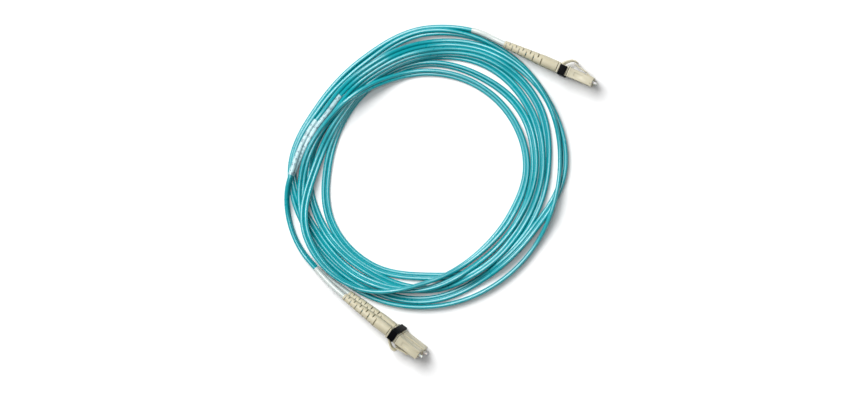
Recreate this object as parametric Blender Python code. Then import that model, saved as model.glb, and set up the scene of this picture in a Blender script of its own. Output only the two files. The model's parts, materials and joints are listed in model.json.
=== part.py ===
"""Duplex fibre-optic patch cord: two duplex plugs on one coiled zip cord.

Lengths below are in millimetres and are turned into metres when a mesh is made.
World frame: Z is up and the table is z = 0.  The origin lies on the table at the centre of
the rectangle that holds both connectors.

Each connector is drawn in its own frame: X runs forward out of the nose, with x = 0 at the
front face, Y runs across the pair of plugs and Z points to the latch side.
"""
from math import atan2, cos, degrees, pi, radians, sin

import bmesh
import bpy
from mathutils import Matrix, Vector

MM = 0.001
GAP = 0.3                       # clearance between separate pieces that touch on the real cord

# ---- driving sizes -------------------------------------------------------------------------
PLUG_PITCH = 6.25               # distance between the two plug axes
NOSE_HALF = 2.25                # half of the 4.5 mm square nose
NOSE_BACK = -12.6               # rear end of the front housing
REAR_FRONT = -12.9              # front end of the rear body
REAR_BACK = -18.1
CLIP_FRONT = -13.7
CLIP_BACK = -17.1
CLIP_HALF_WIDTH = 6.6
CLIP_LOW = -3.1
CLIP_HIGH = 2.05
BOOT_FRONT = -18.4
BOOT_BACK = -46.2
BOOT_FRONT_RADIUS = 2.75
BOOT_BACK_RADIUS = 1.65
FERRULE_RADIUS = 0.625
FERRULE_TIP = 2.1
CHAMBER_RADIUS = 1.8            # bore behind the nose, for the spring and the crimp body
NOSE_BORE_RADIUS = 1.35
LEG_RADIUS = 1.0                # one leg of the zip cord
LEG_START = -24.3               # where the jacket of a leg ends inside its boot
SLEEVE_INNER = LEG_RADIUS + GAP
SLEEVE_OUTER = 1.5
TAIL_RADIUS = 1.5               # round stand-in for the 2.0 x 4.1 mm zip cord
LATCH_PIVOT = (-1.4, 2.05)      # x and z of the latch's living hinge
TRIGGER_PIVOT = (-16.75, 2.15)  # x and z of the trigger's living hinge

COIL_CENTRE = (-21.37, 16.18)    # x and y of the coil's axis in the world frame
COIL_INNER_RADIUS = 45.5
COIL_OUTER_RADIUS = 66.0
COIL_HEIGHT = 6.0

# connector: place of the middle of the front faces from the coil's axis, then its heading, pitch
# and roll, and how far its round boots are turned on their own axis
CONNECTORS = {
    "a": {"nose": (-1.7, -89.55, 8.03), "heading": -37.6, "pitch": 4.0, "roll": 110.2,
          "boot_turn": 0.0},
    "b": {"nose": (80.7, 39.8, 6.62), "heading": -23.9, "pitch": 0.0, "roll": -90.0,
          "boot_turn": 27.0},
}

# where the two legs of each connector join into the zip cord: coil angle, radius and height
SPLITS = {
    "a": {"angle": 222.0, "radius": 71.9, "height": 3.6},
    "b": {"angle": 71.5, "radius": 69.9, "height": 3.6},
}

# route of the loose cord from each split to the coil: coil angle, radius and height
TAIL_ROUTES = {
    "a": ((221.7, 71.9, 3.6), (213.0, 72.3, 3.2), (205.0, 71.9, 4.3), (197.0, 70.3, 6.3),
          (190.0, 67.6, 7.8), (180.0, 63.6, 8.2), (170.0, 60.3, 8.2), (160.0, 57.4, 8.2),
          (150.0, 55.2, 8.2), (140.0, 54.2, 8.2), (130.0, 53.6, 8.2)),
    "b": ((71.8, 69.9, 3.6), (77.0, 69.5, 2.6), (82.0, 68.8, 1.9), (88.0, 68.0, 1.6)),
}
LABEL_ANGLES = (139.0, 183.5)

# ---- materials -----------------------------------------------------------------------------
FINISHES = {
    "beige_plastic": ((0.66, 0.60, 0.44, 1.0), 0.45, 0.0),
    "beige_rubber": ((0.68, 0.62, 0.47, 1.0), 0.60, 0.0),
    "black_plastic": ((0.012, 0.012, 0.014, 1.0), 0.40, 0.0),
    "zirconia": ((0.88, 0.88, 0.86, 1.0), 0.20, 0.0),
    "nickel": ((0.62, 0.60, 0.56, 1.0), 0.30, 1.0),
    "spring_steel": ((0.55, 0.55, 0.56, 1.0), 0.30, 1.0),
    "white_sleeve": ((0.80, 0.81, 0.80, 1.0), 0.50, 0.0),
    "aqua_jacket": ((0.02, 0.44, 0.48, 1.0), 0.42, 0.0),
    "buffer_coat": ((0.85, 0.85, 0.80, 1.0), 0.45, 0.0),
}


def clear_scene():
    for obj in list(bpy.data.objects):
        bpy.data.objects.remove(obj, do_unlink=True)


def make_material(name, finish):
    """A Principled material of the named finish."""
    colour, roughness, metallic = FINISHES[finish]
    material = bpy.data.materials.new(name)
    material.use_nodes = True
    shader = material.node_tree.nodes["Principled BSDF"]
    shader.inputs["Base Color"].default_value = colour
    shader.inputs["Roughness"].default_value = roughness
    shader.inputs["Metallic"].default_value = metallic
    return material


def link(obj):
    bpy.context.scene.collection.objects.link(obj)
    return obj


# ---- mesh tools ----------------------------------------------------------------------------
def mesh_from(bm, name):
    """Turn a bmesh in millimetres into a shaded mesh in metres."""
    bmesh.ops.scale(bm, vec=(MM, MM, MM), verts=bm.verts)
    bmesh.ops.recalc_face_normals(bm, faces=bm.faces)
    mesh = bpy.data.meshes.new(name)
    bm.to_mesh(mesh)
    bm.free()
    mesh.shade_smooth()
    mesh.set_sharp_from_angle(angle=radians(35))
    return mesh


def box_mesh(name, low, high, bevel=0.0):
    bm = bmesh.new()
    bmesh.ops.create_cube(bm, size=1.0)
    size = [h - l for l, h in zip(low, high)]
    middle = [(h + l) / 2 for l, h in zip(low, high)]
    bmesh.ops.scale(bm, vec=size, verts=bm.verts)
    bmesh.ops.translate(bm, vec=middle, verts=bm.verts)
    if bevel:
        bmesh.ops.bevel(bm, geom=bm.edges[:], offset=bevel, segments=1, affect="EDGES")
    return mesh_from(bm, name)


def profile_mesh(name, outline, half_width, bevel=0.0):
    """Extrude an outline in X and Z across Y."""
    bm = bmesh.new()
    verts = [bm.verts.new((x, -half_width, z)) for x, z in outline]
    face = bm.faces.new(verts)
    pushed = bmesh.ops.extrude_face_region(bm, geom=[face])
    moved = [v for v in pushed["geom"] if isinstance(v, bmesh.types.BMVert)]
    bmesh.ops.translate(bm, vec=(0, 2 * half_width, 0), verts=moved)
    if bevel:
        rims = [e for e in bm.edges if abs(e.verts[0].co.y - e.verts[1].co.y) < 1e-6]
        bmesh.ops.bevel(bm, geom=rims, offset=bevel, segments=1, affect="EDGES")
    return mesh_from(bm, name)


def turned_mesh(name, profile, steps=12, axis="X"):
    """Turn a closed outline of (place on the axis, radius) round X or Z.

    Points with radius 0 lie on the axis and close a solid end.
    """
    bm = bmesh.new()
    rings = []
    for along, radius in profile:
        if radius == 0:
            centre = (along, 0, 0) if axis == "X" else (0, 0, along)
            rings.append([bm.verts.new(centre)])
            continue
        ring = []
        for step in range(steps):
            angle = 2 * pi * step / steps
            across = (radius * cos(angle), radius * sin(angle))
            point = (along, *across) if axis == "X" else (*across, along)
            ring.append(bm.verts.new(point))
        rings.append(ring)
    open_ends = len(rings[0]) == 1 and len(rings[-1]) == 1
    pairs = list(zip(rings, rings[1:]))
    if not open_ends:
        pairs.append((rings[-1], rings[0]))
    for first, second in pairs:
        for step in range(steps):
            after = (step + 1) % steps
            if len(first) == 1:
                bm.faces.new((first[0], second[step], second[after]))
            elif len(second) == 1:
                bm.faces.new((first[step], second[0], first[after]))
            else:
                bm.faces.new((first[step], second[step], second[after], first[after]))
    return mesh_from(bm, name)


def swept_mesh(name, centres, radius, inner=0.0, sides=8):
    """A round bar, or a tube when inner is given, along a list of points."""
    bm = bmesh.new()
    radii = [radius] if not inner else [radius, inner]
    shells = [[] for _ in radii]
    side = None
    for index, centre in enumerate(centres):
        before = centres[max(index - 1, 0)]
        after = centres[min(index + 1, len(centres) - 1)]
        forward = (after - before).normalized()
        if side is None:
            side = forward.orthogonal().normalized()
        side = (side - forward * side.dot(forward)).normalized()
        other = forward.cross(side)
        for shell, size in zip(shells, radii):
            shell.append([
                bm.verts.new(centre + size * (cos(2 * pi * k / sides) * side
                                              + sin(2 * pi * k / sides) * other))
                for k in range(sides)
            ])
    for shell in shells:
        for first, second in zip(shell, shell[1:]):
            for k in range(sides):
                nxt = (k + 1) % sides
                bm.faces.new((first[k], second[k], second[nxt], first[nxt]))
    for end in (0, -1):
        if inner:
            outer_ring, inner_ring = shells[0][end], shells[1][end]
            for k in range(sides):
                nxt = (k + 1) % sides
                bm.faces.new((outer_ring[k], inner_ring[k], inner_ring[nxt], outer_ring[nxt]))
        else:
            bm.faces.new(shells[0][end])
    return mesh_from(bm, name)


def combined(name, mesh, tools, operation="DIFFERENCE"):
    """Apply exact booleans with throw-away tool meshes and return the result."""
    body = link(bpy.data.objects.new("work_body", mesh))
    helpers = []
    for tool in tools:
        helper = link(bpy.data.objects.new("work_tool", tool))
        helper.hide_render = True
        helper.display_type = "WIRE"
        helpers.append(helper)
        modifier = body.modifiers.new("cut", "BOOLEAN")
        modifier.operation = operation
        modifier.object = helper
    graph = bpy.context.evaluated_depsgraph_get()
    result = bpy.data.meshes.new_from_object(body.evaluated_get(graph))
    result.name = name
    for obj in helpers + [body]:
        bpy.data.objects.remove(obj, do_unlink=True)
    result.shade_smooth()
    result.set_sharp_from_angle(angle=radians(35))
    return result


def moved_outline(outline, pivot):
    """An outline measured from its pivot, so that the piece's origin is its hinge."""
    return [(x - pivot[0], z - pivot[1]) for x, z in outline]


# ---- plug pieces ---------------------------------------------------------------------------
def front_housing():
    """Square nose with a stepped bore, a pocket for the latch root and shallow side panels."""
    body = box_mesh("housing", (NOSE_BACK, -NOSE_HALF, -NOSE_HALF), (0, NOSE_HALF, NOSE_HALF), 0.15)
    nose_bore = turned_mesh("nose_bore", [(1, 0), (1, NOSE_BORE_RADIUS), (-3.9, NOSE_BORE_RADIUS),
                                          (-3.9, CHAMBER_RADIUS), (NOSE_BACK - 1, CHAMBER_RADIUS),
                                          (NOSE_BACK - 1, 0)])
    latch_pocket = box_mesh("pocket", (-3.4, -1.45, 1.45), (-0.4, 1.45, 3.0))
    tools = [nose_bore, latch_pocket]
    for side in (-1, 1):
        low_y, high_y = sorted((side * (NOSE_HALF - 0.25), side * (NOSE_HALF + 1)))
        tools.append(box_mesh("panel", (-9.6, low_y, -1.0), (-5.4, high_y, 1.0)))
    return combined("front_housing", body, tools)


def rear_body():
    """Extender behind the nose, with the pocket for the trigger root and a rear flange."""
    body = box_mesh("extender", (REAR_FRONT - 4.6, -NOSE_HALF, -NOSE_HALF),
                    (REAR_FRONT, NOSE_HALF, NOSE_HALF), 0.12)
    flange = box_mesh("flange", (REAR_BACK, -2.6, -2.6), (REAR_BACK + 0.7, 2.6, 2.6), 0.15)
    body = combined("extender_flange", body, [flange], "UNION")
    bore = turned_mesh("bore", [(REAR_FRONT + 1, 0), (REAR_FRONT + 1, CHAMBER_RADIUS),
                                (REAR_BACK - 1, CHAMBER_RADIUS), (REAR_BACK - 1, 0)])
    pocket = box_mesh("pocket", (-17.75, -1.35, 1.45), (-15.4, 1.35, 3.5))
    return combined("rear_body", body, [bore, pocket])


def latch_arm():
    """Spring arm with its catch shoulders, drawn from its hinge."""
    outline = ((-0.7, 1.75), (-2.5, 1.75), (-3.25, 2.6), (-5.0, 2.95), (-11.3, 4.3),
               (-11.6, 4.75), (-11.2, 5.02), (-5.7, 3.85), (-3.0, 3.05), (-1.6, 2.5), (-0.7, 2.42))
    arm = profile_mesh("arm", moved_outline(outline, LATCH_PIVOT), 1.1)
    shoulder = ((-4.5, 3.0), (-5.9, 3.25), (-5.7, 3.84), (-4.5, 3.5))
    ears = profile_mesh("ears", moved_outline(shoulder, LATCH_PIVOT), 1.75)
    return combined("latch_arm", arm, [ears], "UNION")


def trigger():
    """Curved lever over the latch's tip, drawn from its hinge, with a wider thumb pad."""
    outline = ((-17.5, 1.8), (-15.9, 1.8), (-15.8, 2.9), (-14.9, 4.0), (-13.7, 4.95),
               (-12.6, 5.4), (-11.6, 5.4), (-10.4, 5.35), (-10.3, 5.9), (-11.2, 6.35),
               (-12.4, 6.5), (-13.6, 6.1), (-15.0, 5.1), (-16.5, 3.7), (-17.3, 2.6))
    lever = profile_mesh("lever", moved_outline(outline, TRIGGER_PIVOT), 1.05)
    pad = ((-12.9, 5.5), (-10.4, 5.35), (-10.3, 5.9), (-11.2, 6.35), (-12.4, 6.5), (-12.9, 6.3))
    thumb = profile_mesh("thumb", moved_outline(pad, TRIGGER_PIVOT), 1.6)
    return combined("trigger", lever, [thumb], "UNION")


def ferrule():
    """Ceramic pin with a chamfered tip."""
    profile = [(FERRULE_TIP, 0), (FERRULE_TIP, 0.42), (FERRULE_TIP - 0.35, FERRULE_RADIUS),
               (-5.2, FERRULE_RADIUS), (-5.2, 0)]
    return turned_mesh("ferrule", profile)


def ferrule_flange():
    """Metal collar round the ferrule's rear, with a hollow tail for the fibre."""
    profile = [(-4.2, 0.93), (-4.2, 1.5), (-5.5, 1.5), (-5.5, 1.0), (-5.9, 0.68), (-8.8, 0.68),
               (-8.8, 0.3), (-5.7, 0.3), (-5.5, 0.93)]
    return turned_mesh("ferrule_flange", profile)


def ferrule_spring():
    """Coil spring between the flange and the crimp body."""
    turns, steps, mean_radius, front, back = 4, 9, 1.16, -6.1, -10.2
    count = turns * steps
    points = []
    for index in range(count + 1):
        angle = 2 * pi * index / steps
        along = front + (back - front) * index / count
        points.append(Vector((along, mean_radius * cos(angle), mean_radius * sin(angle))))
    return swept_mesh("ferrule_spring", points, 0.16, sides=4)


def crimp_body():
    """Metal spring stop, with the thin tail that the strength yarn is crimped on."""
    profile = [(-10.6, 0.75), (-10.6, 1.5), (-18.7, 1.5), (-18.7, 1.15), (-23.2, 1.15),
               (-23.2, 0.75)]
    return turned_mesh("crimp_body", profile)


def crimp_sleeve():
    profile = [(-19.1, 1.45), (-19.1, 1.8), (-23.4, 1.8), (-23.4, 1.45)]
    return turned_mesh("crimp_sleeve", profile)


def buffered_fibre():
    profile = [(-10.2, 0), (-10.2, 0.45), (-24.0, 0.45), (-24.0, 0)]
    return turned_mesh("buffered_fibre", profile, 8)


def boot_radius(x):
    """Outer radius of the boot: straight over the crimp, then tapering to the tail."""
    straight_end = -25.5
    if x > straight_end:
        return BOOT_FRONT_RADIUS
    share = (straight_end - x) / (straight_end - BOOT_BACK)
    return BOOT_FRONT_RADIUS + (BOOT_BACK_RADIUS - BOOT_FRONT_RADIUS) * share


def boot_stations():
    """Places of the slot pairs, closer together towards the tail."""
    stations = []
    place, step = -26.4, 2.15
    for _ in range(11):
        stations.append(place)
        place -= step
        step -= 0.065
    return stations


def boot():
    """Strain relief: tapered tube, cut by slot pairs that alternate by a quarter turn."""
    wide, narrow = 2.15, LEG_RADIUS + GAP
    profile = [(BOOT_FRONT, wide), (BOOT_FRONT, BOOT_FRONT_RADIUS - 0.2),
               (BOOT_FRONT - 0.2, BOOT_FRONT_RADIUS), (-25.5, BOOT_FRONT_RADIUS),
               (BOOT_BACK, BOOT_BACK_RADIUS), (BOOT_BACK, narrow), (-24.9, narrow),
               (-23.9, wide)]
    body = turned_mesh("boot_tube", profile)
    tools = []
    for index, place in enumerate(boot_stations()):
        radius = boot_radius(place)
        keep = 0.5 * radius
        for side in (-1, 1):
            low, high = sorted((side * keep, side * (radius + 1)))
            if index % 2 == 0:
                corners = ((place - 0.3, low, -radius - 1), (place + 0.3, high, radius + 1))
            else:
                corners = ((place - 0.3, -radius - 1, low), (place + 0.3, radius + 1, high))
            tools.append(box_mesh("slot", *corners))
    return combined("boot", body, tools)


def duplex_clip():
    """Black clip that holds two plugs side by side, open towards the latches."""
    body = box_mesh("clip", (CLIP_BACK, -CLIP_HALF_WIDTH, CLIP_LOW),
                    (CLIP_FRONT, CLIP_HALF_WIDTH, CLIP_HIGH), 0.2)
    tools = []
    well = NOSE_HALF + GAP
    for side in (-1, 1):
        middle = side * PLUG_PITCH / 2
        tools.append(box_mesh("well", (CLIP_BACK - 1, middle - well, -well),
                              (CLIP_FRONT + 1, middle + well, CLIP_HIGH + 1)))
    return combined("duplex_clip", body, tools)


# piece: maker, finish, place of its origin in the plug's frame
PLUG_PIECES = {
    "front_housing": (front_housing, "beige_plastic", (0, 0, 0)),
    "latch": (latch_arm, "beige_plastic", (LATCH_PIVOT[0], 0, LATCH_PIVOT[1])),
    "rear_body": (rear_body, "beige_plastic", (0, 0, 0)),
    "trigger": (trigger, "beige_plastic", (TRIGGER_PIVOT[0], 0, TRIGGER_PIVOT[1])),
    "ferrule": (ferrule, "zirconia", (0, 0, 0)),
    "ferrule_flange": (ferrule_flange, "nickel", (0, 0, 0)),
    "ferrule_spring": (ferrule_spring, "spring_steel", (0, 0, 0)),
    "crimp_body": (crimp_body, "nickel", (0, 0, 0)),
    "crimp_sleeve": (crimp_sleeve, "nickel", (0, 0, 0)),
    "buffered_fibre": (buffered_fibre, "buffer_coat", (0, 0, 0)),
    "boot": (boot, "beige_rubber", (0, 0, 0)),
}


def place_piece(name, mesh, finish, parent, offset):
    """One object of its own, on a shared mesh, with a material of its own."""
    obj = link(bpy.data.objects.new(name, mesh))
    if not mesh.materials:
        mesh.materials.append(None)
    obj.material_slots[0].link = "OBJECT"
    obj.material_slots[0].material = make_material(name, finish)
    obj.parent = parent
    obj.location = Vector(offset) * MM
    return obj


def connector_matrix(letter):
    """Rotation and place of a connector's frame, in millimetres."""
    spec = CONNECTORS[letter]
    turn = (Matrix.Rotation(radians(spec["heading"]), 4, "Z")
            @ Matrix.Rotation(radians(-spec["pitch"]), 4, "Y")
            @ Matrix.Rotation(radians(spec["roll"]), 4, "X"))
    x, y, z = spec["nose"]
    place = Vector((COIL_CENTRE[0] + x, COIL_CENTRE[1] + y, z))
    return Matrix.Translation(place) @ turn


def build_connectors():
    meshes = {piece: maker() for piece, (maker, _, _) in PLUG_PIECES.items()}
    clip = duplex_clip()
    for letter in CONNECTORS:
        frame = connector_matrix(letter)
        root = link(bpy.data.objects.new("connector_" + letter, None))
        root.location = frame.to_translation() * MM
        root.rotation_euler = frame.to_euler()
        place_piece(f"{letter}_duplex_clip", clip, "black_plastic", root, (0, 0, 0))
        for number, side in ((1, 1), (2, -1)):
            plug = link(bpy.data.objects.new(f"plug_{letter}{number}", None))
            plug.parent = root
            plug.location = (0, side * PLUG_PITCH / 2 * MM, 0)
            for piece, (_, finish, offset) in PLUG_PIECES.items():
                name = f"{letter}{number}_{piece}"
                obj = place_piece(name, meshes[piece], finish, plug, offset)
                if piece == "boot":
                    obj.rotation_euler.x = radians(CONNECTORS[letter]["boot_turn"])


# ---- cord ----------------------------------------------------------------------------------
def coil_point(angle, radius, height):
    """A point given by its angle in degrees and radius round the coil's axis."""
    turn = radians(angle)
    return Vector((COIL_CENTRE[0] + radius * cos(turn), COIL_CENTRE[1] + radius * sin(turn), height))


def coil_angle(point):
    """Angle in degrees of a point round the coil's axis."""
    return degrees(atan2(point.y - COIL_CENTRE[1], point.x - COIL_CENTRE[0])) % 360


def smooth_curve(points, step):
    """Points every step millimetres or so on a smooth curve through the given ones."""
    result = []
    last = len(points) - 1
    for index in range(last):
        p0 = points[max(index - 1, 0)]
        p1, p2 = points[index], points[index + 1]
        p3 = points[min(index + 2, last)]
        count = max(1, round((p2 - p1).length / step))
        for part in range(count):
            t = part / count
            result.append(0.5 * (2 * p1 + (p2 - p0) * t
                                 + (2 * p0 - 5 * p1 + 4 * p2 - p3) * t * t
                                 + (3 * p1 - p0 - 3 * p2 + p3) * t ** 3))
    result.append(points[last])
    return result


def tube_object(name, points, radius, finish):
    """A curve with a round bevel and filled caps."""
    curve = bpy.data.curves.new(name, "CURVE")
    curve.dimensions = "3D"
    curve.bevel_depth = radius * MM
    curve.bevel_resolution = 2
    curve.use_fill_caps = True
    spline = curve.splines.new("POLY")
    spline.points.add(len(points) - 1)
    for spot, point in zip(spline.points, points):
        spot.co = (*(point * MM), 1.0)
    curve.materials.append(make_material(name, finish))
    return link(bpy.data.objects.new(name, curve))


def leg_route(letter, side):
    """A leg from inside its boot, straight out of the tail and then in to the split."""
    frame = connector_matrix(letter)
    lane = side * PLUG_PITCH / 2
    inside = frame @ Vector((LEG_START, lane, 0))
    mouth = frame @ Vector((BOOT_BACK, lane, 0))
    outside = frame @ Vector((BOOT_BACK - 3.0, lane * 0.98, 0))
    split = SPLITS[letter]
    centre = coil_point(split["angle"], split["radius"], split["height"])
    back = (frame @ Vector((0, side, 0)) - frame.to_translation()).normalized()
    joined = centre + back * (SLEEVE_OUTER + 0.16)
    towards = coil_point(split["angle"] + (-6 if letter == "b" else 6), split["radius"],
                         split["height"])
    near = towards + back * (SLEEVE_OUTER + 0.45)
    return inside, [mouth, outside, near, joined]


def build_legs():
    for letter in CONNECTORS:
        for number, side in ((1, 1), (2, -1)):
            inside, route = leg_route(letter, side)
            path = smooth_curve(route, 3.2)
            tube_object(f"{letter}{number}_leg", [inside] + path, LEG_RADIUS, "aqua_jacket")
            forward = (route[1] - route[0]).normalized()
            covered = [route[0] + forward * GAP] + path[1:]
            sleeve = swept_mesh("leg_sleeve", covered, SLEEVE_OUTER, SLEEVE_INNER)
            place_piece(f"{letter}{number}_leg_sleeve", sleeve, "white_sleeve", None, (0, 0, 0))


def tail_points(letter):
    return smooth_curve([coil_point(*spot) for spot in TAIL_ROUTES[letter]], 4.5)


def build_tails():
    for letter in TAIL_ROUTES:
        tube_object(f"{letter}_cord_tail", tail_points(letter), TAIL_RADIUS, "aqua_jacket")


def build_label():
    """Printed marker sleeve round the cord tail of connector a."""
    tail = tail_points("a")
    low, high = LABEL_ANGLES
    covered = [point for point in tail if low <= coil_angle(point) <= high]
    sleeve = swept_mesh("label", covered, TAIL_RADIUS + 0.6, TAIL_RADIUS + GAP)
    place_piece("label_sleeve", sleeve, "white_sleeve", None, (0, 0, 0))


def build_coil():
    """Plain ring that holds the wound turns."""
    edge = 1.5
    profile = [(0, COIL_INNER_RADIUS + edge), (0, COIL_OUTER_RADIUS - edge),
               (edge, COIL_OUTER_RADIUS), (COIL_HEIGHT - edge, COIL_OUTER_RADIUS),
               (COIL_HEIGHT, COIL_OUTER_RADIUS - edge), (COIL_HEIGHT, COIL_INNER_RADIUS + edge),
               (COIL_HEIGHT - edge, COIL_INNER_RADIUS), (edge, COIL_INNER_RADIUS)]
    ring = turned_mesh("coil", profile, 40, "Z")
    place_piece("cord_coil", ring, "aqua_jacket", None, (*COIL_CENTRE, 0))


def main():
    clear_scene()
    build_connectors()
    build_legs()
    build_tails()
    build_label()
    build_coil()


main()
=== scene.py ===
"""Looks of the duplex fibre-optic patch cord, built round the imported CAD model.

Lengths are in millimetres unless a name says otherwise, and MM turns them into metres.
The cord comes first: its turns are laid by a loop round the coil and then settle on each
other.  The plugs follow, each drawn in the frame of its own CAD plug.
"""
import json
from math import ceil, cos, pi, radians, sin, sqrt

import bmesh
import bpy
import numpy as np
from mathutils import Matrix, Vector
from mathutils.kdtree import KDTree


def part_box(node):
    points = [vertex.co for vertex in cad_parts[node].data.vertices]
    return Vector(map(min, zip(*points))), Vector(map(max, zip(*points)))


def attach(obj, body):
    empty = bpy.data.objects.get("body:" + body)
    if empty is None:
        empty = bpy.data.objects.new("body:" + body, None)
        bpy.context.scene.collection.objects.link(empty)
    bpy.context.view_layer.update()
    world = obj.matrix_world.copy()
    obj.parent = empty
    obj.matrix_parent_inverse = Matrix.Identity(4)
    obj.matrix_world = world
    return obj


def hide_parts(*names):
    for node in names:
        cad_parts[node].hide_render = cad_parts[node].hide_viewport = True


MM = 0.001
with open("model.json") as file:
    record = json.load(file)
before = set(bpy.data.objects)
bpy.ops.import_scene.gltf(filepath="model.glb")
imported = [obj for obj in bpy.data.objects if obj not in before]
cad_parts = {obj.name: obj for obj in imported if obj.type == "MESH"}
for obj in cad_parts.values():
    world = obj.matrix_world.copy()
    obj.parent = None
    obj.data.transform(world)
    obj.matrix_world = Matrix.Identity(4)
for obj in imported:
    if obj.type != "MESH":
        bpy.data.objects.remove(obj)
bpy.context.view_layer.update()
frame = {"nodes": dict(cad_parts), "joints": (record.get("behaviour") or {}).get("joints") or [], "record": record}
MOUNTS = {mount["name"]: mount for mount in frame["record"]["mounts"]}
JOINTS = {joint["name"]: joint for joint in frame["joints"]}
ROOT_BODY = "cord_assembly"

# ---- where things are, read from the frame -------------------------------------------------
coil_low, coil_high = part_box("cord_coil")
COIL_CENTRE = (coil_low + coil_high) / 2 / MM
MOUNT_INSET = 1.75              # the nose mounts sit this far off the plug's axis, both ways


def plug_frame(plug):
    """Matrix, in millimetres, of a plug: X out of the nose, Z to the latch, origin on its face."""
    mount = MOUNTS[plug + "_nose_front"]
    forward = Vector(mount["axis"]).normalized()
    across = Vector(JOINTS[plug + "_trigger_press"]["axis"]).normalized()
    up = forward.cross(across)
    place = Vector(mount["pos_m"]) / MM - across * MOUNT_INSET + up * MOUNT_INSET
    return Matrix((
        (forward.x, across.x, up.x, place.x),
        (forward.y, across.y, up.y, place.y),
        (forward.z, across.z, up.z, place.z),
        (0, 0, 0, 1),
    ))


PLUGS = ("a1", "a2", "b1", "b2")
PLUG_FRAMES = {plug: plug_frame(plug) for plug in PLUGS}
PLUG_PITCH = (PLUG_FRAMES["a1"].translation - PLUG_FRAMES["a2"].translation).length

# ---- driving sizes of the cord -------------------------------------------------------------
LEG_RADIUS = 1.0
LEG_OFFSET = 1.025              # a leg's centre from the middle of the zip cord
WEB_HALF = 0.22                 # half of the web's thickness
SLEEVE_RADIUS = 1.22
BOOT_BACK = -46.2
LEG_START = -24.3               # where a leg's jacket ends inside its boot

# Where the cord passes spokes 30 degrees apart, one row a turn, from the end of connector b.
FIRST_SPOKE = 90.0
SPOKE_STEP = 30.0
TURN_RADII = (
    (66.9, 60.7, 60.2, 65.7, 65.0, 64.4, 63.9, 59.7, 60.2, 66.6, 67.0, 66.9),
    (64.6, 57.9, 58.0, 64.3, 61.7, 61.6, 58.5, 52.4, 50.9, 52.4, 52.9, 50.6),
    (49.8, 47.5, 46.0, 47.9, 53.1, 54.3, 52.6, 55.8, 57.2, 58.2, 61.6, 60.3),
    (54.9, 51.0, 51.7, 56.4, 57.6, 57.3, 58.7, 55.9, 54.0, 55.5, 57.1, 56.9),
    (52.6, 48.8, 47.9, 53.4, 65.9, 66.9, 55.8, 48.8, 47.0, 48.3, 47.4, 46.3),
    (45.7, 46.4, 50.8, 58.8, 65.5, 67.8, 67.2, 65.7, 64.6, 64.5, 66.4, 64.0),
    (59.1, 54.3),
)
# How far its flat side is tilted there, in degrees: 0 lies flat and 90 stands on edge.
TURN_TILTS = (
    (80, 80, 80, 75, 60, 40, 15, 10, 15, 50, 80, 85),
    (30, 45, 45, 70, 20, 15, 60, 75, 70, 10, 15, 45),
    (60, 60, 80, 10, 10, 15, 10, 60, 75, 20, 10, 10),
    (40, 45, 75, 75, 10, 15, 15, 50, 20, 10, 15, 15),
    (80, 80, 45, 10, 15, 80, 85, 60, 10, 40, 45, 45),
    (40, 40, 80, 20, 60, 80, 80, 80, 85, 85, 80, 10),
    (10, 20),
)
# Loose stretches from each split: coil angle, radius and tilt.
TAIL_A = ((221.7, 71.9, 70), (213.0, 72.2, 75), (205.0, 71.6, 80), (197.0, 70.1, 80),
          (190.0, 67.9, 80), (180.0, 63.3, 75), (170.0, 60.1, 15), (160.0, 57.5, 10),
          (150.0, 55.2, 10), (140.0, 54.5, 15))
TAIL_B = ((71.8, 69.1, 80), (76.0, 68.6, 80), (81.0, 68.0, 80))
ROUTE_STEP = 1.0                # millimetres between samples of the route
TILT_BLEND = 6                  # samples over which a change of tilt is spread
LABEL_ANGLES = (139.5, 157.0, 184.0)      # from the first of these on one leg, then on both
LABEL_OVERLAP = 2.0             # degrees by which the label's two parts overlap
LABEL_WALL = 0.2
LABEL_WEB_HALF = 0.75
# Stretches that ride over everything they meet: turn, first and last coil angle.
TOP_STRETCHES = ((0, 265.0, 335.0), (1, 262.0, 335.0), (3, 68.0, 100.0), (4, 150.0, 300.0))
SPLIT_HEIGHT = 3.6              # height of both splits, as in the CAD
SETTLE_STEPS = 200
SAG = 0.05                      # how far the cord drops in a step
STIFFNESS_REACH = 5             # samples over which the cord resists a bend as it settles
END_HOLD = 6                    # samples held at each split
STACK_LIMIT = 13.0              # no turn climbs above this
SAME_TURN = 60.0                # two places with less cord between them aren't compared
LEG_STEPS = 30                  # points of a leg from the split to its boot's mouth
SLEEVE_BARE = 6                 # how many of a leg's last points its sleeve leaves bare


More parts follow.
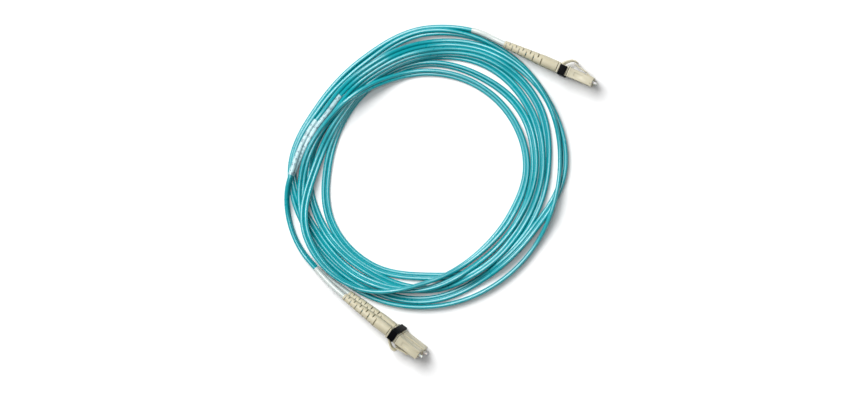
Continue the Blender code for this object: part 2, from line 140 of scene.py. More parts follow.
# ---- materials -----------------------------------------------------------------------------
class Look:
    """A Principled material and short ways to add procedural detail to it."""

    def __init__(self, name, **sockets):
        self.material = bpy.data.materials.new(name)
        self.material.use_nodes = True
        self.tree = self.material.node_tree
        self.shader = self.tree.nodes["Principled BSDF"]
        for socket, value in sockets.items():
            self.shader.inputs[socket.replace("_", " ")].default_value = value
        self.place = self.node("ShaderNodeTexCoord").outputs["Object"]

    def node(self, kind, **settings):
        node = self.tree.nodes.new(kind)
        for key, value in settings.items():
            setattr(node, key, value)
        return node

    def link(self, source, target):
        self.tree.links.new(source, target)

    def noise(self, size, detail=3.0, stretch=None):
        """Noise with features about size millimetres across, optionally stretched."""
        noise = self.node("ShaderNodeTexNoise")
        noise.inputs["Scale"].default_value = 1 / (size * MM)
        noise.inputs["Detail"].default_value = detail
        if stretch:
            mapping = self.node("ShaderNodeMapping")
            mapping.inputs["Scale"].default_value = stretch
            self.link(self.place, mapping.inputs["Vector"])
            self.link(mapping.outputs["Vector"], noise.inputs["Vector"])
        else:
            self.link(self.place, noise.inputs["Vector"])
        return noise.outputs["Fac"]

    def ranged(self, source, low, high, from_low=0.3, from_high=0.7):
        node = self.node("ShaderNodeMapRange")
        node.inputs["From Min"].default_value = from_low
        node.inputs["From Max"].default_value = from_high
        node.inputs["To Min"].default_value = low
        node.inputs["To Max"].default_value = high
        self.link(source, node.inputs["Value"])
        return node.outputs["Result"]

    def blend(self, factor, first, second):
        """Colour mixed between two colours or sockets by a factor socket."""
        node = self.node("ShaderNodeMix", data_type="RGBA")
        self.link(factor, node.inputs["Factor"])
        for slot, colour in (("A", first), ("B", second)):
            socket = [s for s in node.inputs if s.name == slot and s.type == "RGBA"][0]
            if isinstance(colour, tuple):
                socket.default_value = (*colour, 1.0)
            else:
                self.link(colour, socket)
        return [s for s in node.outputs if s.type == "RGBA"][0]

    def colour(self, source):
        self.link(source, self.shader.inputs["Base Color"])

    def roughness(self, source):
        self.link(source, self.shader.inputs["Roughness"])

    def bump(self, source, depth, strength=0.5):
        """Relief whose height is depth millimetres."""
        node = self.node("ShaderNodeBump")
        node.inputs["Distance"].default_value = depth * MM
        node.inputs["Strength"].default_value = strength
        self.link(source, node.inputs["Height"])
        self.link(node.outputs["Normal"], self.shader.inputs["Normal"])


def jacket_look():
    """Aqua cord jacket: satin skin with a faint draw grain and slow drifts in tone."""
    look = Look("aqua_jacket_look", Specular_IOR_Level=1.0)
    drift = look.noise(14.0, 2.0)
    grain = look.noise(0.35, 4.0)
    base = look.blend(look.ranged(drift, 0, 1), (0.0, 0.275, 0.325), (0.0, 0.330, 0.380))
    look.colour(look.blend(look.ranged(grain, 0, 0.3), base, (0.002, 0.390, 0.430)))
    look.roughness(look.ranged(look.noise(2.2, 3.0), 0.26, 0.36))
    look.bump(grain, 0.02, 0.35)
    return look.material


def moulded_look(name, shade, tint, rough, grain_size=0.22):
    """Moulded beige plastic: fine spark-eroded grain, slight flow marks and soft depth."""
    look = Look(name, Subsurface_Weight=0.12, Subsurface_Scale=0.0006,
                Subsurface_Radius=(1.0, 0.8, 0.5), Specular_IOR_Level=0.45)
    flow = look.noise(3.0, 2.0, stretch=(0.35, 1.0, 1.0))
    look.colour(look.blend(look.ranged(flow, 0, 1), shade, tint))
    look.roughness(look.ranged(look.noise(1.1, 3.0), rough - 0.06, rough + 0.08))
    look.bump(look.noise(grain_size, 3.0), 0.015, 0.4)
    return look.material


def black_look():
    """Black clip plastic with an even fine grain."""
    look = Look("black_plastic_look", Specular_IOR_Level=0.03)
    grain = look.noise(0.25, 3.0)
    look.colour(look.blend(look.ranged(grain, 0, 1), (0.0015, 0.0015, 0.002),
                           (0.004, 0.004, 0.005)))
    look.roughness(look.ranged(look.noise(1.4, 3.0), 0.34, 0.5))
    look.bump(grain, 0.02, 0.5)
    return look.material


def ceramic_look():
    """Polished zirconia: milky white, faint grinding rings and a bright coat."""
    look = Look("zirconia_look", Subsurface_Weight=0.2, Subsurface_Scale=0.0004, Coat_Weight=0.5,
                Coat_Roughness=0.08)
    rings = look.noise(0.12, 2.0, stretch=(4.0, 0.3, 0.3))
    look.colour(look.blend(look.ranged(rings, 0, 1), (0.62, 0.62, 0.59), (0.76, 0.76, 0.73)))
    look.roughness(look.ranged(rings, 0.16, 0.28))
    return look.material


def metal_look(name, dark, light, rough):
    """Turned metal: fine lathe lines and small roughness changes."""
    look = Look(name, Metallic=1.0)
    lines = look.noise(0.1, 2.0, stretch=(6.0, 0.4, 0.4))
    look.colour(look.blend(look.ranged(lines, 0, 1), dark, light))
    look.roughness(look.ranged(look.noise(0.8, 2.0), rough - 0.06, rough + 0.08))
    look.bump(lines, 0.01, 0.3)
    return look.material


def sleeve_look():
    """Thin milky tubing over the legs, with a hint of the aqua jacket under it."""
    look = Look("white_sleeve_look", Subsurface_Weight=0.35, Subsurface_Scale=0.001,
                Subsurface_Radius=(0.8, 1.0, 1.0), Coat_Weight=0.3, Coat_Roughness=0.2)
    streak = look.noise(1.6, 3.0)
    look.colour(look.blend(look.ranged(streak, 0, 1), (0.50, 0.56, 0.54), (0.58, 0.62, 0.60)))
    look.roughness(look.ranged(look.noise(0.7, 2.0), 0.28, 0.42))
    look.bump(look.noise(0.4, 2.0), 0.02, 0.3)
    return look.material


def fibre_look():
    """Pale aqua buffer round the glass fibre."""
    look = Look("buffer_coat_look", Specular_IOR_Level=0.5)
    look.colour(look.blend(look.ranged(look.noise(0.3, 2.0), 0, 1), (0.5, 0.62, 0.62),
                           (0.62, 0.74, 0.74)))
    look.roughness(look.ranged(look.noise(0.5, 2.0), 0.35, 0.5))
    return look.material


def label_look():
    """Printed marker sleeve: pale film with rows of small grey dashes that say nothing."""
    look = Look("label_look", Coat_Weight=0.2, Coat_Roughness=0.3)
    film = look.blend(look.ranged(look.noise(2.0, 3.0), 0, 1), (0.36, 0.56, 0.60),
                      (0.47, 0.66, 0.69))
    uv = look.node("ShaderNodeUVMap", uv_map="run")
    bricks = look.node("ShaderNodeTexBrick", offset=0.43, squash=1.0)
    bricks.inputs["Scale"].default_value = 1.0
    bricks.inputs["Brick Width"].default_value = 0.9
    bricks.inputs["Row Height"].default_value = 0.1
    bricks.inputs["Mortar Size"].default_value = 0.018
    bricks.inputs["Color1"].default_value = (1, 1, 1, 1)
    bricks.inputs["Color2"].default_value = (0, 0, 0, 1)
    bricks.inputs["Mortar"].default_value = (1, 1, 1, 1)
    look.link(uv.outputs["UV"], bricks.inputs["Vector"])
    gaps = look.node("ShaderNodeTexNoise", noise_dimensions="1D")
    gaps.inputs["Scale"].default_value = 0.55
    gaps.inputs["Detail"].default_value = 2.0
    split = look.node("ShaderNodeSeparateXYZ")
    look.link(uv.outputs["UV"], split.inputs["Vector"])
    look.link(split.outputs["X"], gaps.inputs["W"])
    words = look.ranged(gaps.outputs["Fac"], 0, 1, 0.47, 0.5)
    ink = look.node("ShaderNodeMath", operation="MULTIPLY")
    inverse = look.ranged(bricks.outputs["Color"], 1, 0, 0.35, 0.6)
    look.link(words, ink.inputs[0])
    look.link(inverse, ink.inputs[1])
    look.colour(look.blend(ink.outputs["Value"], film, (0.17, 0.27, 0.31)))
    look.roughness(look.ranged(look.noise(0.8, 2.0), 0.32, 0.46))
    return look.material


AQUA = jacket_look()
BEIGE = moulded_look("beige_plastic_look", (0.48, 0.442, 0.318), (0.545, 0.512, 0.385), 0.42)
RUBBER = moulded_look("beige_rubber_look", (0.49, 0.449, 0.315), (0.57, 0.530, 0.390), 0.55, 0.3)
BLACK = black_look()
ZIRCONIA = ceramic_look()
NICKEL = metal_look("nickel_look", (0.52, 0.50, 0.46), (0.68, 0.66, 0.61), 0.28)
STEEL = metal_look("spring_steel_look", (0.42, 0.43, 0.44), (0.60, 0.61, 0.62), 0.32)
SLEEVE = sleeve_look()
FIBRE = fibre_look()
LABEL = label_look()


# ---- the cord's route ----------------------------------------------------------------------
def catmull_rom(points, step):
    """Points about step apart on a smooth curve through rows of numbers."""
    points = [np.array(point, float) for point in points]
    result = []
    for index in range(len(points) - 1):
        p0 = points[max(index - 1, 0)]
        p1, p2 = points[index], points[index + 1]
        p3 = points[min(index + 2, len(points) - 1)]
        count = max(1, int(round(np.linalg.norm(p2 - p1) / step)))
        for part in range(count):
            t = part / count
            result.append(0.5 * (2 * p1 + (p2 - p0) * t + (2 * p0 - 5 * p1 + 4 * p2 - p3) * t * t
                                 + (3 * p1 - p0 - 3 * p2 + p3) * t ** 3))
    result.append(points[-1])
    return np.array(result)


def winding():
    """Knots of the whole run from split b to split a: total angle, radius and tilt."""
    knots = [(angle, radius, tilt) for angle, radius, tilt in TAIL_B]
    angle = FIRST_SPOKE
    for radii, tilts in zip(TURN_RADII, TURN_TILTS):
        for radius, tilt in zip(radii, tilts):
            knots.append((angle, radius, tilt))
            angle += SPOKE_STEP
    last_turn = 360 * (len(TURN_RADII) - 1)
    knots += [(angle + last_turn, radius, tilt) for angle, radius, tilt in reversed(TAIL_A)]
    return np.array(knots)


def smooth_through(places, values, wanted):
    """Values at the wanted places on a smooth curve through knots."""
    slopes = np.gradient(values, places)
    cell = np.clip(np.searchsorted(places, wanted, side="right") - 1, 0, len(places) - 2)
    width = places[cell + 1] - places[cell]
    t = (wanted - places[cell]) / width
    return ((2 * t ** 3 - 3 * t ** 2 + 1) * values[cell]
            + (t ** 3 - 2 * t ** 2 + t) * width * slopes[cell]
            + (-2 * t ** 3 + 3 * t ** 2) * values[cell + 1]
            + (t ** 3 - t ** 2) * width * slopes[cell + 1])


def spread_route(step):
    """Total angle, x, y, run and tilt of samples about step millimetres apart."""
    angles, radii, tilts = winding().T
    fine = np.linspace(angles[0], angles[-1], int(4 * (angles[-1] - angles[0])) + 1)
    smooth = smooth_through(angles, radii, fine)
    turn = np.radians(fine)
    x, y = smooth * np.cos(turn), smooth * np.sin(turn)
    run = np.concatenate(([0], np.cumsum(np.hypot(np.diff(x), np.diff(y)))))
    even = np.linspace(0, run[-1], 2 * ceil(run[-1] / (2 * step)) + 1)
    total = np.interp(even, run, fine)
    tilt = np.radians(np.interp(total, angles, tilts))
    return total, np.interp(even, run, x), np.interp(even, run, y), even, tilt


def soften(values, width):
    """Gaussian smoothing with mirrored ends; width is in samples."""
    reach = int(3 * width)
    kernel = np.exp(-0.5 * (np.arange(-reach, reach + 1) / width) ** 2)
    kernel /= kernel.sum()
    return np.convolve(np.pad(values, reach, mode="reflect"), kernel, mode="valid")


def on_top(total):
    """Marks the samples that belong to a stretch which rides over everything it meets."""
    marks = np.zeros(len(total), bool)
    for turn, first, last in TOP_STRETCHES:
        marks |= (total > 360 * turn + first) & (total < 360 * turn + last)
    return marks


def contact_pairs(leg_x, leg_y, total, spacing):
    """Leg samples of different turns that overlap seen from above, and the height they need."""
    count = len(total)
    reach = 2 * LEG_RADIUS
    tree = KDTree(2 * count)
    for index in range(2 * count):
        tree.insert((leg_x[index], leg_y[index], 0), index)
    tree.balance()
    rows = []
    for index in range(2 * count):
        for _, other, distance in tree.find_range((leg_x[index], leg_y[index], 0), reach):
            if (other % count - index % count) * spacing > SAME_TURN:
                rows.append((index, other, sqrt(reach ** 2 - distance ** 2) + 0.02))
    early, late, need = (np.array(column) for column in zip(*rows))
    return early.astype(int), late.astype(int), need


def stacking(early, late, total):
    """True where the earlier turn lies on the later one, the same all along each contact."""
    marks = on_top(total)
    count = len(total)
    first, second = early % count, late % count
    apart = np.round((total[second] - total[first]) / 360).astype(int)
    earlier_above = np.zeros(len(first), bool)
    for turns in np.unique(apart):
        chosen = np.flatnonzero(apart == turns)
        order = chosen[np.argsort(first[chosen])]
        breaks = np.flatnonzero(np.diff(first[order]) > 4) + 1
        for contact in np.split(order, breaks):
            share_first = marks[first[contact]].mean()
            share_second = marks[second[contact]].mean()
            earlier_above[contact] = share_first > max(share_second, 0.04)
    return earlier_above


def settle(total, x, y, tilt, spacing):
    """Heights of the zip cord's middle when its turns rest on the table and on each other."""
    count = len(x)
    across = np.stack([np.gradient(y), -np.gradient(x)])
    across /= np.linalg.norm(across, axis=0)
    side_x, side_y = across * np.cos(tilt) * LEG_OFFSET
    side_z = np.sin(tilt) * LEG_OFFSET
    leg_z = np.concatenate([side_z, -side_z])
    early, late, need = contact_pairs(np.concatenate([x + side_x, x - side_x]),
                                      np.concatenate([y + side_y, y - side_y]), total, spacing)
    swap = stacking(early, late, total)
    upper, lower = np.where(swap, early, late), np.where(swap, late, early)
    floor = LEG_RADIUS + np.abs(side_z)
    z = floor.copy()
    for _ in range(SETTLE_STEPS):
        once = soften(z, STIFFNESS_REACH)
        z = 2 * once - soften(once, STIFFNESS_REACH) - SAG
        z[:END_HOLD] = SPLIT_HEIGHT
        z[-END_HOLD:] = SPLIT_HEIGHT
        z = np.maximum(z, floor)
        for _ in range(4):
            lack = need - (z[upper % count] + leg_z[upper] - z[lower % count] - leg_z[lower])
            bad = lack > 0
            lift = np.zeros(count)
            np.maximum.at(lift, upper[bad] % count, lack[bad])
            z = np.minimum(z + 0.7 * lift, STACK_LIMIT)
    z = np.maximum(soften(z, 2), floor)
    lack = need - (z[upper % count] + leg_z[upper] - z[lower % count] - leg_z[lower])
    print("settled: worst overlap", round(float(lack.max()), 2), "mm, over 0.3 mm at",
          int((lack > 0.3).sum()), "of", len(lack), "places, top", round(float(z.max()), 1), "mm")
    return z


def paired_outline(radius, web_half):
    """Figure-of-eight cross-section: two round legs joined by a web."""
    meet = np.arcsin(web_half / radius)
    outline = []
    for side in (1, -1):
        for part in np.linspace(-(pi - meet), pi - meet, 15):
            angle = part if side > 0 else part + pi
            outline.append((side * LEG_OFFSET + radius * cos(angle), radius * sin(angle)))
    return outline


def round_outline(radius, sides=20):
    """Round cross-section."""
    return [(radius * cos(2 * pi * k / sides), radius * sin(2 * pi * k / sides))
            for k in range(sides)]


def sweep(name, centres, flats, outline):
    """Solid made by taking an outline of (along the flat side, across it) along a path."""
    centres = np.asarray(centres)
    forward = np.gradient(centres, axis=0)
    forward /= np.linalg.norm(forward, axis=1)[:, None]
    flats = flats - forward * np.sum(flats * forward, axis=1)[:, None]
    flats /= np.linalg.norm(flats, axis=1)[:, None]
    normals = np.cross(forward, flats)
    ring = np.array(outline)
    points = (centres[:, None, :] + flats[:, None, :] * ring[None, :, :1]
              + normals[:, None, :] * ring[None, :, 1:])
    rings, sides = points.shape[:2]
    verts = (points.reshape(-1, 3) * MM).tolist()
    faces = []
    for row in range(rings - 1):
        for k in range(sides):
            nxt = (k + 1) % sides
            faces.append((row * sides + k, row * sides + nxt, (row + 1) * sides + nxt,
                          (row + 1) * sides + k))
    faces.append(tuple(range(sides - 1, -1, -1)))
    faces.append(tuple(range((rings - 1) * sides, rings * sides)))
    mesh = bpy.data.meshes.new(name)
    mesh.from_pydata(verts, [], faces)
    layer = mesh.uv_layers.new(name="run")
    run = np.concatenate(([0], np.cumsum(np.linalg.norm(np.diff(centres, axis=0), axis=1))))
    index = 0
    for face in mesh.polygons:
        for corner in face.vertices:
            layer.data[index].uv = (run[corner // sides], (corner % sides) / sides)
            index += 1
    mesh.shade_smooth()
    mesh.set_sharp_from_angle(angle=radians(50))
    obj = bpy.data.objects.new(name, mesh)
    bpy.context.scene.collection.objects.link(obj)
    return obj


def leg_points(plug, end, away, flat):
    """Centre line of one leg: from the split, over to its boot and straight into it."""
    matrix = PLUG_FRAMES[plug]
    forward = np.array(matrix.col[0][:3])
    across = np.array(matrix.col[1][:3])
    side = (1 if plug.endswith("1") else -1) * (1 if np.dot(flat, across) > 0 else -1)
    start = end + flat * LEG_OFFSET * side
    mouth = np.array((matrix @ Vector((BOOT_BACK, 0, 0)))[:])
    reach = np.linalg.norm(mouth - start) * 1.1
    points = []
    for t in np.linspace(0, 1, LEG_STEPS):
        points.append((2 * t ** 3 - 3 * t ** 2 + 1) * start
                      + (t ** 3 - 2 * t ** 2 + t) * reach * away
                      + (-2 * t ** 3 + 3 * t ** 2) * mouth
                      + (t ** 3 - t ** 2) * reach * forward)
    inside = [np.array((matrix @ Vector((x, 0, 0)))[:])
              for x in np.linspace(BOOT_BACK + 1, LEG_START, 12)]
    return np.array(points + inside)


total, route_x, route_y, run, tilt = spread_route(ROUTE_STEP)
tilt = soften(tilt, TILT_BLEND)
height = settle(total, route_x, route_y, tilt, run[1] - run[0])
centres = np.stack([route_x + COIL_CENTRE.x, route_y + COIL_CENTRE.y, height], axis=1)
outward = np.stack([np.gradient(route_y), -np.gradient(route_x), np.zeros(len(run))], axis=1)
outward /= np.linalg.norm(outward, axis=1)[:, None]
flats = outward * np.cos(tilt)[:, None] + np.array([0, 0, 1]) * np.sin(tilt)[:, None]
zip_cord = sweep("zip_cord", centres[::2], flats[::2], paired_outline(LEG_RADIUS, WEB_HALF))
zip_cord.data.materials.append(AQUA)

last_turn = 360 * (len(TURN_RADII) - 1)
label_first, label_both, label_last = (last_turn + angle for angle in LABEL_ANGLES)
on_inner_leg = (total > label_first) & (total < label_both + LABEL_OVERLAP)
on_both_legs = (total > label_both) & (total < label_last)
label = sweep("marker_sleeve", centres[on_both_legs], flats[on_both_legs],
              paired_outline(LEG_RADIUS + LABEL_WALL, LABEL_WEB_HALF))
label_start = sweep("marker_sleeve_start", (centres - flats * LEG_OFFSET)[on_inner_leg],
                    flats[on_inner_leg], round_outline(LEG_RADIUS + LABEL_WALL))
for piece in (label, label_start):
    piece.data.materials.append(LABEL)
    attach(piece, ROOT_BODY)
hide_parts("label_sleeve")

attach(zip_cord, ROOT_BODY)
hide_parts("cord_coil", "a_cord_tail", "b_cord_tail")

for plug in PLUGS:
    at_start = plug[0] == "b"
    end = centres[0] if at_start else centres[-1]
    away = centres[0] - centres[1] if at_start else centres[-1] - centres[-2]
    flat = flats[0] if at_start else flats[-1]
    points = leg_points(plug, end, away / np.linalg.norm(away), flat)
    upright = np.tile(flat, (len(points), 1))
    leg = sweep(plug + "_leg_jacket", points, upright, round_outline(LEG_RADIUS))
    leg.data.materials.append(AQUA)
    sleeve = sweep(plug + "_furcation_tube", points[1:-SLEEVE_BARE], upright[1:-SLEEVE_BARE],
                   round_outline(SLEEVE_RADIUS))
    sleeve.data.materials.append(SLEEVE)
    for piece, node in ((leg, "_leg"), (sleeve, "_leg_sleeve")):
        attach(piece, ROOT_BODY)
        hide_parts(plug + node)


# ---- mesh helpers: millimetres in a plug's own frame until finished -------------------------
def cube_part(low, high):
    """A plain box given by two corners."""
    bm = bmesh.new()
    corners = [bm.verts.new((x, y, z)) for x in (low[0], high[0]) for y in (low[1], high[1])
               for z in (low[2], high[2])]
    for a, b, c, d in ((0, 1, 3, 2), (4, 6, 7, 5), (0, 4, 5, 1), (2, 3, 7, 6), (0, 2, 6, 4),
                       (1, 5, 7, 3)):
        bm.faces.new((corners[a], corners[b], corners[c], corners[d]))
    return part_mesh(bm)


def part_mesh(bm):
    """A mesh of the finished bmesh, with its faces turned outward."""
    bmesh.ops.recalc_face_normals(bm, faces=bm.faces)
    mesh = bpy.data.meshes.new("part")
    bm.to_mesh(mesh)
    bm.free()
    return mesh


def turned_part(profile, sides=48):
    """A profile of (x, radius) spun round the plug's axis; radius 0 closes an end."""
    bm = bmesh.new()
    rings = []
    for along, radius in profile:
        count = sides if radius else 1
        rings.append([bm.verts.new((along, radius * cos(2 * pi * k / sides),
                                    radius * sin(2 * pi * k / sides))) for k in range(count)])
    pairs = list(zip(rings, rings[1:]))
    if len(rings[0]) > 1:
        pairs.append((rings[-1], rings[0]))
    for first, second in pairs:
        for k in range(sides):
            nxt = (k + 1) % sides
            if len(first) == 1:
                bm.faces.new((first[0], second[k], second[nxt]))
            elif len(second) == 1:
                bm.faces.new((first[k], second[0], first[nxt]))
            else:
                bm.faces.new((first[k], second[k], second[nxt], first[nxt]))
    return part_mesh(bm)


def lofted_part(sections, corners=20, squareness=4.0):
    """A bar along a curve in the plug's XZ plane; rows are x, z, thickness and half width."""
    rows = catmull_rom(sections, 0.25)
    centres = rows[:, :2]
    forward = np.gradient(centres, axis=0)
    forward /= np.linalg.norm(forward, axis=1)[:, None]
    bm = bmesh.new()
    rings = []
    last = len(rows) - 1
    for index, (x, z, thick, half) in enumerate(rows):
        inset = 0.72 if index in (0, last) else 1.0
        up_x, up_z = -forward[index][1], forward[index][0]
        ring = []
        for k in range(corners):
            turn = 2 * pi * k / corners
            c, s = cos(turn), sin(turn)
            across = half * inset * abs(c) ** (2 / squareness) * (1 if c > 0 else -1)
            above = thick / 2 * inset * abs(s) ** (2 / squareness) * (1 if s > 0 else -1)
            ring.append(bm.verts.new((x + up_x * above, across, z + up_z * above)))
        rings.append(ring)
    for first, second in zip(rings, rings[1:]):
        for k in range(corners):
            nxt = (k + 1) % corners
            bm.faces.new((first[k], second[k], second[nxt], first[nxt]))
    bm.faces.new(rings[0])
    bm.faces.new(rings[-1])
    return part_mesh(bm)


def shaped(name, bodies, cuts=(), bevel=0.0, segments=2):
    """Union the bodies, take the cuts away, round the edges and turn it into metres."""
    work = [bpy.data.objects.new("work", mesh) for mesh in (*bodies, *cuts)]
    for obj in work:
        bpy.context.scene.collection.objects.link(obj)
    for index, tool in enumerate(work[1:], start=1):
        modifier = work[0].modifiers.new("join", "BOOLEAN")
        modifier.operation = "UNION" if index < len(bodies) else "DIFFERENCE"
        modifier.object = tool
    if bevel:
        modifier = work[0].modifiers.new("edges", "BEVEL")
        modifier.width = bevel
        modifier.segments = segments
        modifier.limit_method = "ANGLE"
        modifier.angle_limit = radians(40)
        modifier.use_clamp_overlap = True
    graph = bpy.context.evaluated_depsgraph_get()
    mesh = bpy.data.meshes.new_from_object(work[0].evaluated_get(graph))
    for obj in work:
        bpy.data.objects.remove(obj, do_unlink=True)
    mesh.name = name
    mesh.materials.clear()
    mesh.transform(Matrix.Scale(MM, 4))
    mesh.shade_smooth()
    mesh.set_sharp_from_angle(angle=radians(32))
    return mesh


# ---- plug pieces ---------------------------------------------------------------------------
NOSE_HALF = 2.25
NOSE_BACK = -12.6
REAR_FRONT = -12.9
REAR_BACK = -18.1
BORE_RADIUS = 1.35
CHAMBER_RADIUS = 1.8
FERRULE_TIP = 2.1               # how far the ferrule stands out of the nose
FERRULE_RADIUS = 0.625


def nose_mesh():
    """Square nose: chamfered mouth, ferrule bore, latch pocket, side panels and a rear rim."""
    body = cube_part((NOSE_BACK, -NOSE_HALF, -NOSE_HALF), (0, NOSE_HALF, NOSE_HALF))
    rim = cube_part((NOSE_BACK, -2.36, -2.36), (NOSE_BACK + 0.75, 2.36, 2.36))
    bore = turned_part([(1, 0), (1, 1.95), (-0.35, BORE_RADIUS), (-3.9, BORE_RADIUS),
                        (-3.9, CHAMBER_RADIUS), (NOSE_BACK - 1, CHAMBER_RADIUS),
                        (NOSE_BACK - 1, 0)])
    cuts = [bore, cube_part((-3.4, -1.45, 1.5), (-0.4, 1.45, 3.0))]
    for side in (-1, 1):
        low, high = sorted((side * (NOSE_HALF - 0.25), side * (NOSE_HALF + 1)))
        cuts.append(cube_part((-9.6, low, -1.0), (-5.4, high, 1.0)))
        cuts.append(cube_part((-0.9, low, -1.55), (1, high, -0.95)))
    cuts.append(cube_part((-10.4, -1.2, -3.0), (-1.6, 1.2, -NOSE_HALF + 0.1)))
    return shaped("nose", [body, rim], cuts, 0.13)


def extender_mesh():
    """Body behind the nose: front rim, trigger pocket and a rear flange."""
    body = cube_part((REAR_FRONT - 4.6, -NOSE_HALF, -NOSE_HALF),
                     (REAR_FRONT, NOSE_HALF, NOSE_HALF))
    rim = cube_part((-13.5, -2.4, -2.4), (REAR_FRONT, 2.4, 2.4))
    flange = cube_part((REAR_BACK, -2.6, -2.6), (REAR_BACK + 0.7, 2.6, 2.6))
    bore = turned_part([(REAR_FRONT + 1, 0), (REAR_FRONT + 1, CHAMBER_RADIUS),
                        (REAR_BACK - 1, CHAMBER_RADIUS), (REAR_BACK - 1, 0)])
    pocket = cube_part((-17.75, -1.35, 1.45), (-15.4, 1.35, 3.5))
    return shaped("extender", [body, rim, flange], [bore, pocket], 0.11)


def latch_mesh():
    """Spring arm that thins towards its tip, with its two catch shoulders."""
    arm = lofted_part(((-0.75, 2.1, 0.62, 1.1), (-1.7, 2.12, 0.66, 1.1), (-2.7, 2.35, 0.62, 1.1),
                       (-4.0, 2.98, 0.6, 1.1), (-5.6, 3.42, 0.62, 1.1), (-8.4, 4.0, 0.58, 1.05),
                       (-10.6, 4.55, 0.56, 1.0), (-11.4, 4.78, 0.42, 0.95)))
    shoulders = lofted_part(((-4.45, 3.22, 0.42, 1.75), (-5.1, 3.38, 0.5, 1.75),
                             (-5.8, 3.56, 0.52, 1.72)), squareness=6.0)
    return shaped("latch", [arm, shoulders])


def trigger_mesh():
    """Curved lever over the latch's tip, ending in a wider ribbed thumb pad."""
    lever = lofted_part(((-16.7, 1.85, 1.3, 1.05), (-16.62, 2.5, 1.2, 1.05),
                         (-16.15, 3.35, 1.05, 1.05), (-15.15, 4.4, 0.9, 1.05),
                         (-14.05, 5.25, 0.85, 1.1), (-13.0, 5.8, 0.85, 1.4),
                         (-12.0, 5.97, 0.85, 1.6), (-11.1, 5.9, 0.78, 1.6),
                         (-10.45, 5.68, 0.55, 1.45)))
    ribs = [lofted_part(((x, 6.22, 0.3, 1.25), (x - 0.3, 6.24, 0.3, 1.25)), 12)
            for x in (-11.4, -12.1)]
    return shaped("trigger", [lever, *ribs])


BOOT_FRONT = -18.4
BOOT_STRAIGHT_END = -25.5
BOOT_FRONT_RADIUS = 2.75
BOOT_TAIL_RADIUS = 1.65
BOOT_SLOTS = 11
BOOT_TURNS = {"a": 0.0, "b": 27.0}      # how far each connector's boots are turned on their axis


def boot_radius(x):
    """Outer radius of the strain relief at x."""
    share = max(0.0, (BOOT_STRAIGHT_END - x) / (BOOT_STRAIGHT_END - BOOT_BACK))
    return BOOT_FRONT_RADIUS + (BOOT_TAIL_RADIUS - BOOT_FRONT_RADIUS) * share


def boot_mesh(turn):
    """Tapered strain relief, cut by slot pairs that alternate by a quarter turn."""
    wide, narrow = 2.15, 1.3
    profile = [(BOOT_FRONT, wide), (BOOT_FRONT, 2.5), (-18.55, 2.68), (-18.8, BOOT_FRONT_RADIUS),
               (-24.6, BOOT_FRONT_RADIUS), (-25.6, 2.73)]
    place, step = -26.4, 2.15
    stations = []
    for _ in range(BOOT_SLOTS):
        stations.append(place)
        place -= step
        step -= 0.065
    profile += [(x, boot_radius(x)) for x in np.linspace(-26.2, BOOT_BACK + 0.5, 10)]
    profile += [(BOOT_BACK + 0.12, BOOT_TAIL_RADIUS - 0.03), (BOOT_BACK, BOOT_TAIL_RADIUS - 0.13),
                (BOOT_BACK, narrow), (-24.9, narrow), (-23.9, wide)]
    cuts = []
    for index, place in enumerate(stations):
        radius = boot_radius(place)
        half = 0.3 - 0.008 * index
        for side in (-1, 1):
            low, high = sorted((side * 0.5 * radius, side * (radius + 1)))
            if index % 2 == 0:
                cut = cube_part((place - half, low, -radius - 1),
                                (place + half, high, radius + 1))
            else:
                cut = cube_part((place - half, -radius - 1, low),
                                (place + half, radius + 1, high))
            cuts.append(cut)
    mesh = shaped("boot", [turned_part(profile, 56)], cuts, 0.05, 1)
    mesh.transform(Matrix.Rotation(radians(turn), 4, "X"))
    return mesh


def ferrule_mesh():
    """Ceramic pin with a rounded, chamfered tip."""
    tip = FERRULE_TIP
    profile = [(tip, 0), (tip - 0.005, 0.2), (tip - 0.03, 0.4), (tip - 0.1, 0.47),
               (tip - 0.4, 0.61), (tip - 0.5, FERRULE_RADIUS), (-5.15, FERRULE_RADIUS),
               (-5.2, 0.58), (-5.2, 0)]
    return shaped("ferrule", [turned_part(profile, 40)])


def fibre_end_mesh():
    """Polished end of the glass fibre in the ferrule's tip."""
    profile = [(2.112, 0), (2.112, 0.05), (2.09, 0.0625), (1.9, 0.0625), (1.9, 0)]
    return shaped("fibre_end", [turned_part(profile, 20)])


def clip_mesh():
    """Duplex clip: a bar with two wells, a waist between them and snap lips at the top."""
    low, high = (-17.1, -6.6, -3.1), (-13.7, 6.6, 2.05)
    cuts = []
    for middle in (-PLUG_PITCH / 2, PLUG_PITCH / 2):
        cuts.append(cube_part((-18, middle - 2.55, -2.55), (-13, middle + 2.55, 3)))
    cuts.append(cube_part((-18, -0.28, -0.6), (-13, 0.28, 3)))
    return shaped("clip", [cube_part(low, high)], cuts, 0.22, 3)


def placed(name, mesh, matrix, material, body, *nodes):
    """One object of a shared mesh, put in a plug's frame and tied to a body and CAD nodes."""
    obj = bpy.data.objects.new(name, mesh)
    bpy.context.scene.collection.objects.link(obj)
    if not mesh.materials:
        mesh.materials.append(material)
    metres = matrix.copy()
    metres.translation = matrix.translation * MM
    obj.matrix_world = metres
    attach(obj, body)
    if nodes:
        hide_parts(*nodes)
    return obj


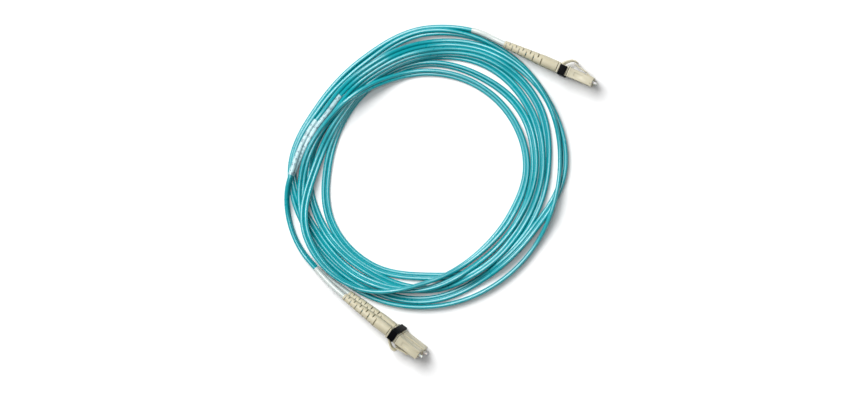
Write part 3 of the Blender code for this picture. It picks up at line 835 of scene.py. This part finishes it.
PLUG_MESHES = {
    "nose": nose_mesh(), "extender": extender_mesh(), "latch": latch_mesh(),
    "trigger": trigger_mesh(), "ferrule": ferrule_mesh(), "fibre_end": fibre_end_mesh(),
}
BOOT_MESHES = {letter: boot_mesh(turn) for letter, turn in BOOT_TURNS.items()}
CLIP_MESH = clip_mesh()
for plug, matrix in PLUG_FRAMES.items():
    placed(plug + "_nose_shell", PLUG_MESHES["nose"], matrix, BEIGE, ROOT_BODY,
           plug + "_front_housing")
    placed(plug + "_extender", PLUG_MESHES["extender"], matrix, BEIGE, ROOT_BODY,
           plug + "_rear_body")
    placed(plug + "_latch_arm", PLUG_MESHES["latch"], matrix, BEIGE, plug + "_latch",
           plug + "_latch")
    placed(plug + "_trigger_lever", PLUG_MESHES["trigger"], matrix, BEIGE, plug + "_trigger",
           plug + "_trigger")
    placed(plug + "_ferrule_pin", PLUG_MESHES["ferrule"], matrix, ZIRCONIA, plug + "_ferrule",
           plug + "_ferrule")
    placed(plug + "_fibre_end", PLUG_MESHES["fibre_end"], matrix, FIBRE, plug + "_ferrule")
    placed(plug + "_strain_relief", BOOT_MESHES[plug[0]], matrix, RUBBER, ROOT_BODY,
           plug + "_boot")
for letter in "ab":
    first, second = PLUG_FRAMES[letter + "1"], PLUG_FRAMES[letter + "2"]
    middle = first.copy()
    middle.translation = (first.translation + second.translation) / 2
    placed(letter + "_clip", CLIP_MESH, middle, BLACK, ROOT_BODY, letter + "_duplex_clip")

CARRIED = {"ferrule_flange": NICKEL, "ferrule_spring": STEEL, "crimp_body": NICKEL,
           "crimp_sleeve": NICKEL, "buffered_fibre": FIBRE}
for plug in PLUGS:
    for piece, material in CARRIED.items():
        node = frame["nodes"][f"{plug}_{piece}"]
        for slot in node.material_slots:
            slot.material = material


# ---- stage, camera and light ---------------------------------------------------------------
VIEW_WIDTH = 413.0              # millimetres of the table that the frame takes in
LENS = 250.0
SENSOR = 36.0
VIEW_CENTRE = (1.9, -18.3)      # what the camera looks at, from the coil's axis
VIEW_TILT = 6.5                 # degrees off straight down
VIEW_SIDE = -23.0               # direction, in degrees, that the camera is moved to
VIEW_HEIGHT = 3.0               # height of the point that the camera looks at
FLOOR_HALF = 3.0                # metres from the middle of the table to its edge
KEY_PLACE = (-0.95, 1.25, 2.5)  # metres, as are the lights' other places and sizes
CEILING_PLACE = (0.1, -0.1, 2.6)
SURROUND = 0.04                 # strength of the white light from all round


def floor_plane():
    """White matt table."""
    mesh = bpy.data.meshes.new("floor")
    corners = [(-FLOOR_HALF, -FLOOR_HALF, 0), (FLOOR_HALF, -FLOOR_HALF, 0),
               (FLOOR_HALF, FLOOR_HALF, 0), (-FLOOR_HALF, FLOOR_HALF, 0)]
    mesh.from_pydata(corners, [], [(0, 1, 2, 3)])
    look = Look("floor_look", Specular_IOR_Level=0.2)
    look.colour(look.blend(look.ranged(look.noise(60.0, 2.0), 0, 1), (0.85, 0.852, 0.855),
                           (0.87, 0.872, 0.875)))
    look.shader.inputs["Roughness"].default_value = 0.8
    mesh.materials.append(look.material)
    floor = bpy.data.objects.new("floor", mesh)
    bpy.context.scene.collection.objects.link(floor)


def add_camera():
    """A long lens nearly straight above, with the picture's top towards +Y."""
    data = bpy.data.cameras.new("camera")
    data.lens = LENS
    data.sensor_width = SENSOR
    camera = bpy.data.objects.new("camera", data)
    bpy.context.scene.collection.objects.link(camera)
    side = radians(VIEW_SIDE)
    back = Vector((sin(radians(VIEW_TILT)) * cos(side), sin(radians(VIEW_TILT)) * sin(side),
                   cos(radians(VIEW_TILT))))
    right = Vector((0, 1, 0)).cross(back).normalized()
    up = back.cross(right)
    target = Vector((COIL_CENTRE.x + VIEW_CENTRE[0], COIL_CENTRE.y + VIEW_CENTRE[1],
                     VIEW_HEIGHT))
    place = (target + back * VIEW_WIDTH * LENS / SENSOR) * MM
    turn = Matrix((right, up, back)).transposed().to_4x4()
    camera.matrix_world = Matrix.Translation(place) @ turn
    data.clip_end = 20.0
    bpy.context.scene.camera = camera


def area_light(name, place, size, energy):
    """A round soft box that looks at the coil; place and size are in metres."""
    data = bpy.data.lights.new(name, "AREA")
    data.shape = "DISK"
    data.size = size
    data.energy = energy
    light = bpy.data.objects.new(name, data)
    light.location = place
    light.rotation_euler = (-Vector(place)).to_track_quat("-Z", "Y").to_euler()
    bpy.context.scene.collection.objects.link(light)


def studio():
    """A large key light from the upper left, a smaller one overhead and a faint surround."""
    area_light("key", KEY_PLACE, 2.0, 108.0)
    area_light("ceiling", CEILING_PLACE, 1.0, 22.0)
    world = bpy.data.worlds.new("world")
    world.use_nodes = True
    background = world.node_tree.nodes["Background"]
    background.inputs["Color"].default_value = (1, 1, 1, 1)
    background.inputs["Strength"].default_value = SURROUND
    bpy.context.scene.world = world
    bpy.context.scene.view_settings.view_transform = "Standard"


floor_plane()
add_camera()
studio()
